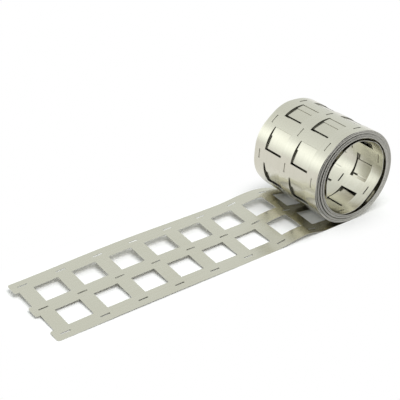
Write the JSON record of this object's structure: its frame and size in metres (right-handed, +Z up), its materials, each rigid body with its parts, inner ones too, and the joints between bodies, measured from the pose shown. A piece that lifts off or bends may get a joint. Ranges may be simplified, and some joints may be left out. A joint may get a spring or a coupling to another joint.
{
  "type": "nickel strip",
  "caption": "Ladder-pattern nickel strip, partly unrolled from its coil, with square windows and a slit weld pad at each crossing, for spot-welding round cells into packs.",
  "frame": {"origin": "middle of the bounding box, on the floor that the tail lies on", "axes": "+X along the tail from the free end towards the coil, +Y along the axis of the coil, +Z up"},
  "size_m": [0.196, 0.0482, 0.0503],
  "materials": {
    "nickel": "bright cold-rolled nickel sheet, half-gloss, with fine rolling lines along the strip"
  },
  "bodies": {
    "root": {"nickel_strip": "nickel"}
  },
  "joints": []
}
